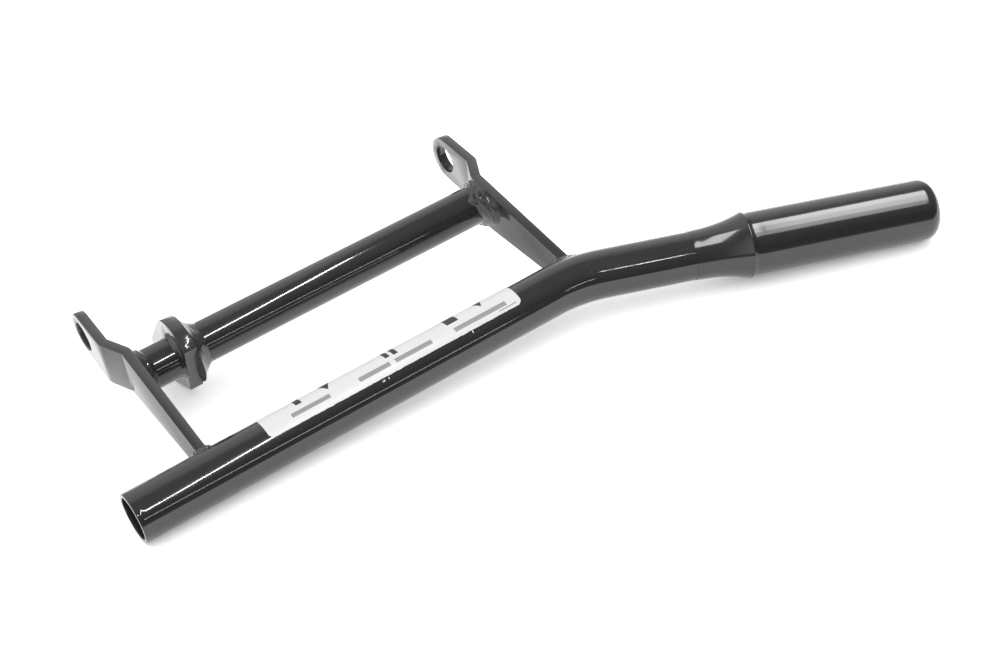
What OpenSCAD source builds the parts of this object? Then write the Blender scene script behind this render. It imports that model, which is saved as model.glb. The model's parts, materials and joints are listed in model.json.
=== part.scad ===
// Clutch handle of a garden machine: a bent lever tube with a soft grip, and two
// flat arms that carry a cross tube, a lug plate and the pivot rings.
// Lengths are millimetres. X runs along the lever tube from its open end toward
// the grip, Y from the lever tube toward the pivot rings, Z up.

/* [Lever tube] */
// Outside diameter of the lever tube
lever_d = 25.4; // [22:0.1:30]
// Wall of the lever tube
lever_wall = 2; // [1:0.1:4]
// Distance from the right arm's inner face to the corner of the bend
bend_gap = 1.9; // [0:0.1:60]
// Angle of the bend, away from the arms
bend_angle = 23.1; // [10:0.1:30]
// Radius of the bend at the middle of the tube
bend_radius = 76; // [60:1:110]

/* [Hand grip] */
// Distance from the corner of the bend to the foot of the grip
grip_start = 62; // [45:1:90]
// Length of the grip from its foot to its closed end
grip_length = 131; // [110:1:160]
// Length of the flared skirt, from the foot to the middle of the rim
skirt_length = 29; // [20:0.5:40]
// Thickness of the soft sleeve at its foot
foot_wall = 0.3; // [0.2:0.1:1.5]
// Rise of the skirt above the foot where it meets the rim
skirt_rise = 3.9; // [2:0.1:4.2]
// Diameter over the rim
rim_d = 34.8; // [33.6:0.1:38]
// Radius of the rim's rounded edge
rim_round = 2.6; // [2:0.1:3.5]
// Diameter of the grip just past the rim
grip_d = 33.3; // [32:0.1:33.5]
// Diameter of the grip at its closed end
grip_end_d = 32.1; // [30:0.1:33]
// Radius of the edge round the closed end
grip_end_round = 5; // [3:0.1:8]
// Height of the slight dome on the closed end
grip_dome = 0.8; // [0.2:0.1:2]
// Thickness of the closed end
grip_end_wall = 4; // [2:0.1:8]

/* [Arms] */
// Distance from the lever tube's open end to the left arm's outer face
left_arm_x = 39.8; // [30:0.1:60]
// Clear distance between the two arms, which is the cross tube's length
arm_span = 203.8; // [150:0.1:260]
// Thickness of the flat bar
arm_t = 5.4; // [4:0.1:8]
// Height of an arm at the middle of the lever tube
arm_root_h = 14.2; // [10:0.1:20]
// Height of an arm at its widest, where the joggle starts
arm_wide_h = 26.8; // [24:0.1:32]
// Distance from the lever tube's middle to the start of the joggle
joggle_y = 88; // [80:0.5:94]
// Length of the joggle along the arm
joggle_run = 13; // [10:0.5:18]
// Sideways step of the joggle, away from the other arm
joggle_step = 6.3; // [3:0.1:9]
// Inner radius of the joggle's bends
joggle_bend = 3; // [1:0.1:4]
// Distance from the lever tube's middle to the pivot
ring_y = 124; // [118:0.5:140]
// Height of the pivot above the lever tube's middle
ring_z = 0.9; // [-2:0.1:2]
// Diameter of an arm's round end
ring_d = 25.2; // [23:0.1:28]
// Diameter of the pivot hole
pivot_d = 16; // [10:0.1:18]

/* [Cross tube] */
// Outside diameter of the cross tube
cross_d = 21.7; // [16:0.1:24]
// Wall of the cross tube
cross_wall = 2; // [1:0.1:4]
// Distance from the lever tube's middle to the cross tube's middle
cross_y = 82; // [76:0.5:88]

/* [Lug plate] */
// Distance from the left arm's inner face to the lug plate
lug_gap = 19.1; // [12:0.1:60]
// Thickness of the lug plate
lug_t = 7; // [4:0.1:10]
// Radius of the plate's head, round the cross tube
lug_head_r = 19.5; // [17:0.1:24]
// Radius of the plate's rounded tip
lug_tip_r = 13; // [8:0.1:16]
// Distance from the head's middle to the tip's middle
lug_reach = 27.3; // [20:0.1:36]
// Angle of the tip below the arms' plane
lug_angle = 40; // [25:1:55]
// Distance from the cross tube's middle to the flat on the plate's near side
lug_flat = 12; // [11.5:0.1:16]
// Angle of that flat from upright
lug_flat_angle = 10.6; // [0:0.1:20]

/* [Label] */
// Distance from the lever tube's open end to the label
label_x = 70.2; // [60:0.1:90]
// Length of the label along the tube
label_length = 144; // [80:0.5:150]
// Width of the label round the tube
label_width = 25; // [15:0.5:30]
// Thickness of the label
label_t = 0.2; // [0.1:0.05:0.5]
// Radius of the label's corners
label_round = 3; // [1:0.1:5]
// Angle round the tube from the arms' side to the label's lower edge
label_edge_angle = 122.8; // [100:0.1:140]

/* [Welds] */
// Leg of the beads that join the arms to the lever tube
root_leg = 4.2; // [2:0.1:6]
// Angle that the same beads run past the arm's edges
root_wrap = 12; // [5:1:25]
// Leg along the cross tube of the beads at its ends
end_leg = 6; // [2:0.1:9]
// Leg up the arm of the same beads
end_rise = 5; // [2:0.1:8]
// Leg of the beads that join the lug plate to the cross tube
lug_leg = 5; // [2:0.1:8]
// Swell of every bead over a straight fillet
bead_swell = 0.5; // [0.1:0.05:1]

/* [Hidden] */
$fn = 96;

// Steps in a rounded corner or a curved profile
arc_steps = 8;
// Length by which a cutting shape runs past what it cuts
over = 1;
// Least step between two surfaces that would otherwise run into each other
hair = 0.1;
// Length by which two stretches of the lever tube lap
lap = 0.5;
// Air between a round bar and what lies on it
seat = 0.01;
// Rounds in which the resting pose settles
settling_rounds = 8;

lever_r = lever_d / 2;
cross_r = cross_d / 2;
ring_r = ring_d / 2;
rim_r = rim_d / 2;

left_face_x = left_arm_x + arm_t;
right_face_x = left_face_x + arm_span;
ring_right_x = right_face_x + joggle_step;

// Height of the blocks from which the arms' views are cut
arm_block_h = arm_wide_h + ring_d;

// Corner of the bend, where the bend starts, and the way that the tube runs after it
bend_x = right_face_x + bend_gap;
bend_tangent = bend_radius * tan(bend_angle / 2);
bend_start_x = bend_x - bend_tangent;
grip_way = [cos(bend_angle), -sin(bend_angle), 0];
tube_end_s = grip_start + grip_length - grip_end_wall;

lug_x = left_face_x + lug_gap;

function unit(v) = v / norm(v);
function turned(v, a) = [v.x * cos(a) - v.y * sin(a), v.x * sin(a) + v.y * cos(a)];

// Middle of the circle of radius r that rounds corner b between a and c
function corner_middle(a, b, c, r) =
    let (u = unit(a - b), v = unit(c - b))
    b + unit(u + v) * r / sin(acos(u * v) / 2);

// Arc of radius r in place of corner b between a and c
function corner_arc(a, b, c, r) =
    let (
        middle = corner_middle(a, b, c, r),
        u = unit(a - b),
        half = acos(u * unit(c - b)) / 2,
        first = b + u * r / tan(half) - middle,
        sweep = (180 - 2 * half) * (cross(b - a, c - b) > 0 ? 1 : -1)
    )
    [for (i = [0 : arc_steps]) middle + turned(first, sweep * i / arc_steps)];

// Point where the line from p touches a circle, on its side +1 or -1
function touch(p, middle, r, side) =
    let (way = middle - p, d = norm(way))
    p + turned(unit(way), side * asin(r / d)) * sqrt(d * d - r * r);

// Curve from p to q that swells to the right of its chord
function swell(p, q) =
    let (side = turned(unit(q - p), -90))
    [for (i = [0 : arc_steps]) let (t = i / arc_steps) p + (q - p) * t + side * bead_swell * 4 * t * (1 - t)];

// Middle line of the lever tube at a given x: its y and its angle
function lever_y(x) =
    x < bend_start_x ? 0
    : x < bend_start_x + bend_radius * sin(bend_angle)
        ? sqrt(bend_radius * bend_radius - (x - bend_start_x) * (x - bend_start_x)) - bend_radius
        : -(x - bend_x) * tan(bend_angle);
function lever_angle(x) =
    x < bend_start_x ? 0 : -min(bend_angle, asin(min(1, (x - bend_start_x) / bend_radius)));

// Point on the middle line past the bend, at distance s from its corner
function grip_point(s) = [bend_x, 0, 0] + grip_way * s;

// Middle of the lug plate's tip, in y and z from the cross tube's middle
lug_tip = turned([lug_reach, 0], -lug_angle);

// The handle lies on three places: the lever tube's open end, the grip and the
// lug plate's tip. Each is a circle with a middle, an axis, a radius and the
// radius of its rounded edge. Its lowest point is the furthest one against the
// way n that is up on the table.
open_end = [[0, 0, 0], [1, 0, 0], lever_r, 0];
grip_rim = [grip_point(grip_start + skirt_length), grip_way, rim_r - rim_round, rim_round];
grip_end = [grip_point(grip_start + grip_length - grip_dome - grip_end_round), grip_way,
    grip_end_d / 2 - grip_end_round, grip_end_round];
lug_end = [[lug_x, cross_y + lug_tip.x, lug_tip.y], [1, 0, 0], lug_tip_r, 0];
function lowest(disc, n) =
    let (side = n - (n * disc[1]) * disc[1])
    disc[0] - disc[2] * unit(side) - disc[3] * n;
function table_way(n, rounds) =
    let (
        a = lowest(open_end, n),
        rim = lowest(grip_rim, n),
        end = lowest(grip_end, n),
        b = n * rim < n * end ? rim : end,
        c = lowest(lug_end, n)
    )
    rounds <= 0 ? n : table_way(unit(cross(b - a, c - a)), rounds - 1);
up = table_way([0, 0, 1], settling_rounds);
roll = atan2(up.y, up.z);
pitch = -asin(up.x);
lift = -(up * lowest(open_end, up));

// Ways that the table's X and Y point in the handle's own axes, and the reach of
// a rounded disc along such a way
table_x = [cos(pitch), sin(pitch) * sin(roll), sin(pitch) * cos(roll)];
table_y = [0, cos(roll), -sin(roll)];
function reach(disc, way) =
    disc[0] * way + disc[2] * sqrt(max(0, 1 - pow(disc[1] * way, 2))) + disc[3];
ring_disc = [[ring_right_x, ring_y, ring_z], [1, 0, 0], ring_r, 0];
middle_x = (reach(grip_end, table_x) - reach(open_end, -table_x)) / 2;
middle_y = (reach(ring_disc, table_y) - reach(grip_end, -table_y)) / 2;

// Lays the handle on the table, with the middle of its footprint at the origin
module laid() {
    translate([-middle_x, -middle_y, lift]) rotate([roll, pitch, 0]) children();
}

// Turns what was drawn along Z so that it runs along X, or an outline drawn in
// x and y so that these become y and z
module along_x() {
    rotate([90, 0, 90]) children();
}

// Solid round bar that follows the lever tube's middle line. Past the bend it is
// thicker by a hair and laps back into the bend, so that the two join cleanly.
module lever_bar(r) {
    along_x() cylinder(r = r, h = bend_start_x);
    translate([bend_start_x, -bend_radius, 0]) rotate([0, 0, 90]) mirror([0, 1, 0])
        rotate_extrude(angle = bend_angle) translate([bend_radius, 0]) circle(r = r);
    translate(grip_point(bend_tangent - lap)) rotate([0, 0, -bend_angle])
        along_x() cylinder(r = r + hair, h = tube_end_s - bend_tangent + lap);
}

module lever_tube() {
    color("#1c1d20") laid() difference() {
        lever_bar(lever_r);
        lever_bar(lever_r - lever_wall);
    }
}

// Half profile of the grip: radius, and distance from the corner of the bend
skirt_end = skirt_length - rim_round * 0.8;
rim_middle_r = rim_r - rim_round;
rim_exit = asin(min(0.95, (grip_d / 2 - rim_middle_r) / rim_round));
grip_end_s = grip_start + grip_length;
grip_flat_r = grip_end_d / 2 - grip_end_round;
skirt_end_rise = skirt_rise * pow(skirt_end / skirt_length, 2);
skirt_curve = [for (i = [0 : arc_steps]) let (t = i / arc_steps)
    [lever_r + foot_wall + skirt_end_rise * t * t, grip_start + skirt_end * t]];
rim_curve = [for (i = [0 : arc_steps]) let (a = 140 + (rim_exit - 140) * i / arc_steps)
    [rim_middle_r + rim_round * sin(a), grip_start + skirt_length + rim_round * cos(a)]];
end_curve = [for (i = [0 : arc_steps]) let (a = 90 * i / arc_steps)
    [grip_flat_r + grip_end_round * cos(a), grip_end_s - grip_dome - grip_end_round * (1 - sin(a))]];
dome_curve = [for (i = [1 : arc_steps]) let (t = 1 - i / arc_steps)
    [grip_flat_r * t, grip_end_s - grip_dome * t * t]];

module hand_grip() {
    color("#17181a") laid() translate([bend_x, 0, 0]) rotate([0, 0, -bend_angle]) along_x() difference() {
        rotate_extrude() polygon(concat([[0, grip_start]], skirt_curve, rim_curve, end_curve, dome_curve));
        translate([0, 0, grip_start - over])
            cylinder(r = lever_r + hair + seat, h = tube_end_s - grip_start + over);
    }
}

// Side view of an arm as a wide block: taper, then tangents to the round end
wide_point = [joggle_y, arm_wide_h / 2];
ring_middle = [ring_y, ring_z];
module arm_side() {
    top = touch(wide_point, ring_middle, ring_r, 1);
    bottom = touch([wide_point.x, -wide_point.y], ring_middle, ring_r, -1);
    along_x() linear_extrude(arm_block_h, center = true) polygon([[0, -arm_root_h / 2],
        [wide_point.x, -wide_point.y], bottom, top, wide_point, [0, arm_root_h / 2]]);
    translate([0, ring_y, ring_z]) along_x() cylinder(r = ring_r, h = arm_block_h, center = true);
}

// Plan view of an arm: the flat bar's joggle, its inner face at x = 0
joggle_mitre = arm_t * tan(atan(joggle_step / joggle_run) / 2);
arm_plan = concat(
    [[0, 0]],
    corner_arc([0, 0], [0, joggle_y], [joggle_step, joggle_y + joggle_run], joggle_bend + arm_t),
    corner_arc([0, joggle_y], [joggle_step, joggle_y + joggle_run],
        [joggle_step, ring_y], joggle_bend),
    [[joggle_step, ring_y + ring_r + over], [joggle_step + arm_t, ring_y + ring_r + over]],
    corner_arc([joggle_step + arm_t, ring_y], [joggle_step + arm_t, joggle_y + joggle_run - joggle_mitre],
        [arm_t, joggle_y - joggle_mitre], joggle_bend + arm_t),
    corner_arc([joggle_step + arm_t, joggle_y + joggle_run - joggle_mitre], [arm_t, joggle_y - joggle_mitre],
        [arm_t, 0], joggle_bend),
    [[arm_t, 0]]
);

// An arm before it is coped to the lever tube, with its inner face at x = 0
module arm_blank() {
    difference() {
        intersection() {
            linear_extrude(arm_block_h, center = true) polygon(arm_plan);
            arm_side();
        }
        translate([joggle_step + arm_t / 2, ring_y, ring_z]) along_x()
            cylinder(d = pivot_d, h = arm_t + 2 * over, center = true);
    }
}

module left_arm_blank() {
    translate([left_face_x, 0, 0]) mirror([1, 0, 0]) arm_blank();
}

module right_arm_blank() {
    translate([right_face_x, 0, 0]) arm_blank();
}

module left_arm() {
    color("#232427") laid() difference() {
        left_arm_blank();
        lever_bar(lever_r);
    }
}

module right_arm() {
    color("#232427") laid() difference() {
        right_arm_blank();
        lever_bar(lever_r);
    }
}

module cross_tube() {
    color("#1c1d20") laid() translate([left_face_x, cross_y, 0]) along_x() difference() {
        cylinder(r = cross_r, h = arm_span);
        translate([0, 0, -over]) cylinder(r = cross_r - cross_wall, h = arm_span + 2 * over);
    }
}

// Plate of the lug's outline: head, tip and the tangents that join them, less the
// flat on the side of the lever tube
lug_lean = asin((lug_head_r - lug_tip_r) / lug_reach);
lug_sides = [for (side = [1, -1]) turned([1, 0], side * (90 - lug_lean) - lug_angle)];
module lug_blank(thickness) {
    translate([0, cross_y, 0]) along_x() difference() {
        union() {
            cylinder(r = lug_head_r, h = thickness);
            translate(lug_tip) cylinder(r = lug_tip_r, h = thickness);
            linear_extrude(thickness) polygon([lug_sides[0] * lug_head_r, lug_tip + lug_sides[0] * lug_tip_r,
                lug_tip + lug_sides[1] * lug_tip_r, lug_sides[1] * lug_head_r]);
        }
        rotate([0, 0, lug_flat_angle]) translate([-lug_flat - lug_head_r, -lug_head_r - over, -over])
            cube([lug_head_r, 2 * (lug_head_r + over), thickness + 2 * over]);
    }
}

module lug_plate() {
    color("#232427") laid() difference() {
        translate([lug_x, 0, 0]) lug_blank(lug_t);
        translate([lug_x - over, cross_y, 0]) along_x() cylinder(r = cross_r, h = lug_t + 2 * over);
    }
}

// Part of the label's film between two angles and two places along the tube
module film(from_x, to_x, from_angle, to_angle) {
    translate([from_x, 0, 0]) along_x() rotate([0, 0, from_angle])
        rotate_extrude(angle = to_angle - from_angle)
            translate([lever_r + seat, 0]) square([label_t, to_x - from_x]);
}

label_round_angle = label_round / lever_r * 180 / PI;
label_top_angle = label_edge_angle - label_width / lever_r * 180 / PI;
label_end_x = label_x + label_length;

module label() {
    color("#e4e5e6") laid() union() {
        film(label_x + label_round, label_end_x - label_round, label_top_angle, label_edge_angle);
        film(label_x, label_end_x, label_top_angle + label_round_angle, label_edge_angle - label_round_angle);
        for (x = [label_x + label_round, label_end_x - label_round])
            for (a = [label_top_angle + label_round_angle, label_edge_angle - label_round_angle])
                intersection() {
                    film(x - label_round, x + label_round, a - label_round_angle, a + label_round_angle);
                    translate([x, 0, 0]) rotate([a - 90, 0, 0]) cylinder(r = label_round, h = lever_r + over);
                }
    }
}

// Bead round the root of an arm, from one face to the other and over its edges
module root_bead(face_x) {
    x = face_x + arm_t / 2;
    half = asin(arm_root_h / 2 / lever_r) + root_wrap;
    foot_r = lever_r - over;
    translate([x, lever_y(x), 0]) rotate([0, 0, lever_angle(x)]) translate([-arm_t / 2, 0, 0])
        along_x() rotate([0, 0, -half]) rotate_extrude(angle = 2 * half) polygon(concat(
            [[foot_r, arm_t + root_leg], [foot_r, -root_leg]],
            swell([lever_r, -root_leg], [lever_r + root_leg, 0]),
            swell([lever_r + root_leg, arm_t], [lever_r, arm_t + root_leg])));
}

// Ring bead round the cross tube: it climbs by rise on the face at x = 0 and runs
// by leg along the tube, toward +X
module ring_bead(leg, rise) {
    translate([0, cross_y, 0]) along_x() rotate_extrude() polygon(concat(
        [[cross_r, 0]], swell([cross_r + rise, 0], [cross_r, leg])));
}

module left_root_weld() {
    color("#1a1b1d") laid() difference() {
        root_bead(left_arm_x);
        lever_bar(lever_r);
        left_arm_blank();
    }
}

module right_root_weld() {
    color("#1a1b1d") laid() difference() {
        root_bead(right_face_x);
        lever_bar(lever_r);
        right_arm_blank();
    }
}

module left_end_weld() {
    color("#1a1b1d") laid() intersection() {
        translate([left_face_x, 0, 0]) ring_bead(end_leg, end_rise);
        translate([left_face_x, 0, 0]) arm_side();
    }
}

module right_end_weld() {
    color("#1a1b1d") laid() intersection() {
        translate([right_face_x, 0, 0]) mirror([1, 0, 0]) ring_bead(end_leg, end_rise);
        translate([right_face_x, 0, 0]) arm_side();
    }
}

module outer_lug_weld() {
    color("#1a1b1d") laid() intersection() {
        translate([lug_x, 0, 0]) mirror([1, 0, 0]) ring_bead(lug_leg, lug_leg);
        translate([lug_x - lug_leg - over, 0, 0]) lug_blank(lug_leg + 2 * over);
    }
}

module inner_lug_weld() {
    color("#1a1b1d") laid() intersection() {
        translate([lug_x + lug_t, 0, 0]) ring_bead(lug_leg, lug_leg);
        translate([lug_x + lug_t - over, 0, 0]) lug_blank(lug_leg + 2 * over);
    }
}

lever_tube();
hand_grip();
left_arm();
right_arm();
cross_tube();
lug_plate();
label();
left_root_weld();
right_root_weld();
left_end_weld();
right_end_weld();
outer_lug_weld();
inner_lug_weld();
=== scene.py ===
# %% [markdown]
# # A clutch handle for a garden machine
# The handle is one weldment: a bent steel tube with a soft sleeve over its grip end, and two
# flat arms that carry a cross tube, a lug plate and a ring each for the pivot. The solids
# come in at their real size and place. This script makes finer surfaces round them, gives
# each its finish, and lights them the way a small product is lit on a white table.

# %% Load the frame
import json
import math

import bmesh
import bpy
import numpy as np
from mathutils import Matrix, Vector

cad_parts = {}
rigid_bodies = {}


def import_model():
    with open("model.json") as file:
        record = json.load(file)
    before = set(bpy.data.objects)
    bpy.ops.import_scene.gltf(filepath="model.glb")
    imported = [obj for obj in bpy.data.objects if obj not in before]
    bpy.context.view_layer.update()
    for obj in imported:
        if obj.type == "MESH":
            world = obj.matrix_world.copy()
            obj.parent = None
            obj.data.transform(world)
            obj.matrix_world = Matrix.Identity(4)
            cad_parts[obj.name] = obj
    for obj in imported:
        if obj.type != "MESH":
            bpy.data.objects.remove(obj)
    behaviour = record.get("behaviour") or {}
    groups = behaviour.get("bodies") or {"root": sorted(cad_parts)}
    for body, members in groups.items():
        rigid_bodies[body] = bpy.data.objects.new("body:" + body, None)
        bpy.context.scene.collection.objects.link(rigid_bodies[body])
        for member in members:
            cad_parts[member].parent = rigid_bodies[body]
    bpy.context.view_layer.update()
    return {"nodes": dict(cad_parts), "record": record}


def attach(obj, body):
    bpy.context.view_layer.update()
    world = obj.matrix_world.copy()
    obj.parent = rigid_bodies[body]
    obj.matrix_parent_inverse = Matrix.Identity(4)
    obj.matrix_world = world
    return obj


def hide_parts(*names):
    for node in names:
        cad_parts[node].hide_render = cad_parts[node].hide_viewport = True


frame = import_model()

MM = 0.001
BODY = "root"
print("solids:", sorted(frame["nodes"]))

# %% [markdown]
# ## The handle's own axes
# The handle lies on a table a little tilted, but it is easier to build square to its own
# tube. Its axes could be typed in as angles. They are read from the two mounts of the
# record instead: the bore of the tube gives the first axis, and the pivot gives the second.

# %% Axes of the handle
BORE_INSET = 2 * MM
PIVOT_Y = 124 * MM
PIVOT_Z = 0.9 * MM
mounts = {mount["name"]: mount for mount in frame["record"]["mounts"]}
axis_x = -np.array(mounts["tube_end"]["axis"])
origin = np.array(mounts["tube_end"]["pos_m"]) - BORE_INSET * axis_x
to_pivot = np.array(mounts["pivot"]["pos_m"]) - origin
to_pivot -= to_pivot.dot(axis_x) * axis_x
to_pivot /= np.linalg.norm(to_pivot)
pivot_lean = math.atan2(PIVOT_Z, PIVOT_Y)
axis_y = math.cos(pivot_lean) * to_pivot - math.sin(pivot_lean) * np.cross(axis_x, to_pivot)
AXES = np.array([axis_x, axis_y, np.cross(axis_x, axis_y)])


def laid(points):
    """Places on the table of points in the handle's axes: the origin plus each coordinate
    times its axis."""
    return origin + np.asarray(points) @ AXES


print("open end of the tube, in mm:", (origin / MM).round(2))

# %% [markdown]
# ## Surfaces from grids
# Every new piece is a grid of points. Rows run along the piece and columns run round it.
# A cell of the grid becomes one four-sided face, and points that fall together, at a seam
# or a pole, are merged, so that each skin closes.

# %% Grid to mesh
MERGE = 0.0005 * MM
SHARP = math.radians(38)


def finish_piece(piece, slot, *replaced):
    """Puts a piece on the handle: it rides on the body and stands for the named solids."""
    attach(piece, BODY)
    if replaced:
        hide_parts(*replaced)
    print(piece.name, "faces:", len(piece.data.polygons))
    return piece


def close_mesh(mesh):
    """Merges points that fall together, turns all faces outward and shades them smooth."""
    work = bmesh.new()
    work.from_mesh(mesh)
    bmesh.ops.remove_doubles(work, verts=work.verts, dist=MERGE)
    bmesh.ops.recalc_face_normals(work, faces=work.faces)
    work.to_mesh(mesh)
    work.free()
    mesh.polygons.foreach_set("use_smooth", np.ones(len(mesh.polygons), bool))
    mesh.set_sharp_from_angle(angle=SHARP)


def skin(name, grid, uv=None):
    """Object from grid[row, column, xyz] in the handle's axes, or from a stack of such grids.
    The face of cell (i, j) joins points (i, j), (i + 1, j), (i + 1, j + 1) and (i, j + 1)."""
    number = np.arange(grid.size // 3).reshape(grid.shape[:-1])
    corners = [number[..., :-1, :-1], number[..., 1:, :-1], number[..., 1:, 1:], number[..., :-1, 1:]]
    faces = np.stack(corners, axis=-1).reshape(-1, 4)
    mesh = bpy.data.meshes.new(name)
    mesh.from_pydata(laid(grid.reshape(-1, 3)), [], faces)
    if uv is not None:
        layer = mesh.uv_layers.new(name="UVMap")
        layer.data.foreach_set("uv", uv.reshape(-1, 2)[faces.ravel()].ravel())
    close_mesh(mesh)
    piece = bpy.data.objects.new(name, mesh)
    bpy.context.scene.collection.objects.link(piece)
    return piece


print("points nearer than this are merged, in mm:", MERGE / MM)

# %% [markdown]
# Rows and columns could be evenly spaced, but then a fine dent would need a fine grid all
# over. Windows of finer steps save that. Real surfaces are also a little uneven. Noise would
# leave a seam where a turn closes, so the unevenness is a sum of a few sines instead.

# %% Spacing and unevenness
def closed(turns):
    """Angles of a whole turn, with the last equal to the first."""
    return np.linspace(0, 2 * math.pi, turns + 1)


def steps(low, high, step, *windows):
    """Places from low to high by a step, with finer ones inside windows of (low, high, step).
    Of two places nearer than a fifth of the finest step, only one is kept."""
    parts = [np.arange(low, high, step), [high]] + [np.arange(*window) for window in windows]
    places = np.unique(np.concatenate(parts))
    apart = np.diff(places, prepend=-1) > 0.2 * min([step] + [window[2] for window in windows])
    apart[-1] = True
    return places[apart]


def waves(place, count, seed):
    """Smooth unevenness, mostly between -1 and 1: twice the weighted mean of sines of the
    place. Their frequencies are whole numbers from 1 to count, so it closes over a turn."""
    draw = np.random.default_rng(seed)
    phase = draw.uniform(0, 2 * math.pi, count)
    weight = draw.uniform(0.4, 1, count)
    parts = [weight[k] * np.sin((k + 1) * place + phase[k]) for k in range(count)]
    return sum(parts) / weight.sum() * 2


print("angles in a closed turn of 8 steps:", len(closed(8)))

# %% [markdown]
# ## Lever tube
# The lever is a round steel tube, cut square at one end and bent once. A curve with a
# bevel could make it, but it would give no inside wall. Here a closed profile, out along
# the outside and back along the bore, is carried along the middle line of the tube.

# %% Middle line of the lever tube
LEVER_R = 12.7 * MM
LEVER_WALL = 2 * MM
BEND_X = 250.9 * MM
BEND_R = 76 * MM
BEND = math.radians(23.1)
GRIP_START = 62 * MM
GRIP_LENGTH = 133.2 * MM
GRIP_FLOOR = 6.2 * MM
bend_tangent = BEND_R * math.tan(BEND / 2)
bend_start = BEND_X - bend_tangent
bend_run = BEND_R * BEND
corner_run = bend_start + bend_run - bend_tangent
lever_run = corner_run + GRIP_START + GRIP_LENGTH - GRIP_FLOOR


def middle_line(run):
    """x, y and heading of the middle line at a run from the open end: straight, then along
    the arc of the bend, then straight on at the angle of the bend."""
    turn = np.clip((run - bend_start) / BEND_R, 0, BEND)
    after = np.maximum(run - bend_start - bend_run, 0)
    x = np.minimum(run, bend_start) + BEND_R * np.sin(turn) + after * math.cos(BEND)
    y = BEND_R * (np.cos(turn) - 1) - after * math.sin(BEND)
    return x, y, turn


def round_line(run, radius, angle):
    """Points at a radius and an angle round the middle line. Angle zero points to the arms
    and a quarter turn points up."""
    x, y, turn = middle_line(run)
    across = radius * np.cos(angle)
    up = radius * np.sin(angle)
    points = np.broadcast_arrays(x + across * np.sin(turn), y + across * np.cos(turn), up)
    return np.stack(points, -1)


print("length of the lever tube, in mm:", round(lever_run / MM, 1))

# %% [markdown]
# The tube's skin isn't a perfect cylinder. Thick paint leaves a bead at the cut end and
# faint waves along it, the bend is a touch flattened, and a few knocks mark it. Bump in a
# material would fool the eye only inside the outline, so the unevenness is in the mesh. Rows
# and columns stand closer where there is more to show.

# %% Radius of the lever tube
LIP = 0.4 * MM
KNOCKS = [
    (131 * MM, 126.5, 1.5 * MM, 0.8 * MM, 0.30 * MM),
    (134 * MM, 127.5, 0.8 * MM, 0.8 * MM, 0.20 * MM),
    (183 * MM, 126.0, 0.9 * MM, 1.2 * MM, 0.30 * MM),
    (186 * MM, 128.5, 1.0 * MM, 0.8 * MM, 0.25 * MM),
]


def dent(run, angle, at_run, at_degrees, length, width):
    """Bell-shaped mark, 1 at its middle: falls off with the distance along the tube over
    length and with the distance round it over width."""
    along = (run - at_run) / length
    across = LEVER_R * (angle - math.radians(at_degrees)) / width
    return np.exp(-(along**2) - across**2)


def lever_radius(run, angle):
    """Outer radius: the tube's own, plus the bead of paint at the cut, faint waves and the
    flattening of the bend, less the knocks."""
    bead = 0.075 * MM * np.exp(-(((run - 2.4 * MM) / (1.0 * MM)) ** 2))
    wavy = 0.013 * MM * waves(run / 0.03, 7, 3) * waves(angle, 3, 4)
    in_bend = np.exp(-(((run - bend_start - bend_run / 2) / (0.8 * bend_run)) ** 2))
    flat = 0.12 * MM * in_bend * np.cos(2 * angle)
    knocks = sum(depth * dent(run, angle, *place) for *place, depth in KNOCKS)
    return LEVER_R + bead + wavy - flat - knocks


print("knocks in the lever tube:", len(KNOCKS))

# %% Lever tube
ROW_STEP = 1.3 * MM
BORE_STEP = 5 * MM
FINE = 0.3 * MM
LIP_FINE_END = 6 * MM
KNOCK_REACH = 4 * MM
COLUMN_STEP = math.radians(4)
FRONT_COLUMNS = (math.radians(118), math.radians(136), 0.02)
windows = [(LIP + FINE, LIP_FINE_END, FINE)]
windows += [(at - KNOCK_REACH, at + KNOCK_REACH, FINE) for at, *_ in KNOCKS[::2]]
lip_arc = np.linspace(math.pi / 2, 0, 5)
lip_run = LIP * (1 - np.sin(lip_arc))
lip_drop = LIP * (1 - np.cos(lip_arc))
outer_run = np.concatenate([lip_run, steps(LIP, lever_run, ROW_STEP, *windows)[1:]])
outer_drop = np.concatenate([lip_drop, np.zeros(len(outer_run) - len(lip_run))])
inner_run = np.concatenate([np.arange(lever_run, LIP, -BORE_STEP), lip_run[::-1]])
inner_rise = np.concatenate([np.zeros(len(inner_run) - len(lip_run)), lip_drop[::-1]])
lever_angle = steps(0, 2 * math.pi, COLUMN_STEP, FRONT_COLUMNS)
outer_radius = lever_radius(outer_run[:, None], lever_angle) - outer_drop[:, None]
inner_radius = LEVER_R - LEVER_WALL + inner_rise[:, None] + 0 * lever_angle
outer_skin = round_line(outer_run[:, None], outer_radius, lever_angle)
inner_skin = round_line(inner_run[:, None], inner_radius, lever_angle)
lever_grid = np.concatenate([outer_skin, inner_skin, outer_skin[:1]])
finish_piece(skin("lever_tube_skin", lever_grid), "black_enamel", "lever_tube")

# %% [markdown]
# ## Hand grip
# The sleeve is soft plastic that was dipped or slipped on: it starts as a thin skin, flares
# up to a ridge, and ends in a closed round end. Its form is a profile turned about the
# tube's middle line, a lathe's work, with the bore as the way back.

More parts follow.
